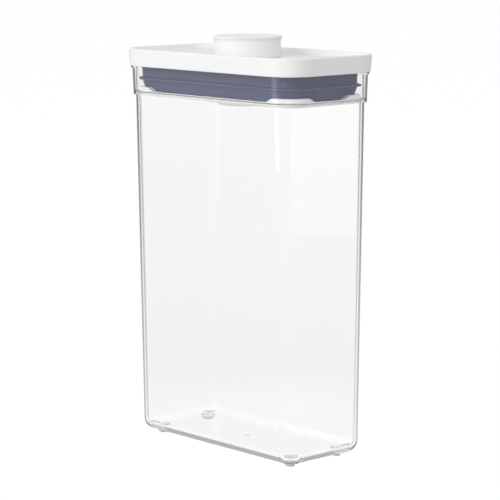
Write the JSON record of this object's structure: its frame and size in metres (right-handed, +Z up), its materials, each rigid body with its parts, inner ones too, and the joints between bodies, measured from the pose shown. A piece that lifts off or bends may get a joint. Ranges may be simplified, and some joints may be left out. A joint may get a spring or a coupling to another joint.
{
  "type": "food storage container",
  "caption": "Tall slim rectangular clear canister with a white push-button lid; the button works a silicone seal through rockers, a spring and a latch inside the lid.",
  "frame": {"origin": "on the floor plane, under the middle of the jar, at the level of the feet", "axes": "+X along the long side, +Y along the short side, +Z up"},
  "size_m": [0.1598, 0.079, 0.2582],
  "materials": {
    "clear_plastic": "clear, polished mould",
    "white_plastic": "white, satin mould",
    "inner_plastic": "natural, as moulded",
    "grey_silicone": "blue-grey silicone, satin",
    "steel": "plain drawn steel"
  },
  "bodies": {
    "jar": {"jar_body": "clear_plastic"},
    "lid": {"lid_cover": "white_plastic", "lid_base": "white_plastic", "lid_screws": "steel", "gasket": "grey_silicone", "hub_seal": "grey_silicone", "rocker_pin_left": "steel", "rocker_pin_right": "steel", "latch_pin": "steel", "return_spring": "steel"},
    "button": {"button_cap": "white_plastic", "button_core": "inner_plastic", "button_screw": "steel"},
    "left_rocker": {"rocker_left": "inner_plastic"},
    "right_rocker": {"rocker_right": "inner_plastic"},
    "latch": {"latch_arm": "inner_plastic"},
    "seal_frame": {"gasket_frame": "white_plastic"}
  },
  "joints": [
    {"name": "lid_lift", "type": "slide", "parent": "jar", "child": "lid", "axis": [0, 0, 1], "range_m": [0, 0.12]},
    {"name": "button_press", "type": "slide", "parent": "lid", "child": "button", "axis": [0, 0, -1], "range_m": [0, 0.0092], "stiffness_N_per_m": 350, "springref_m": -0.012, "deforming": ["return_spring"]},
    {"name": "left_rocker_swing", "type": "hinge", "parent": "lid", "child": "left_rocker", "pos_m": [-0.05, 0, 0.2286], "axis": [0, 1, 0], "range_deg": [0, 15.2]},
    {"name": "right_rocker_swing", "type": "hinge", "parent": "lid", "child": "right_rocker", "pos_m": [0.05, 0, 0.2286], "axis": [0, -1, 0], "range_deg": [0, 15.2]},
    {"name": "frame_lift", "type": "slide", "parent": "lid", "child": "seal_frame", "axis": [0, 0, 1], "range_m": [0, 0.0016], "deforming": ["gasket"]},
    {"name": "latch_swing", "type": "hinge", "parent": "lid", "child": "latch", "pos_m": [0, 0.0134, 0.2212], "axis": [0, 1, 0], "range_deg": [0, 20]}
  ],
  "couplings": [
    {"joint": "left_rocker_swing", "follows": "button_press", "rad_per_m": 28.654},
    {"joint": "right_rocker_swing", "follows": "button_press", "rad_per_m": 28.654},
    {"joint": "frame_lift", "follows": "button_press", "ratio": 0.17429}
  ]
}
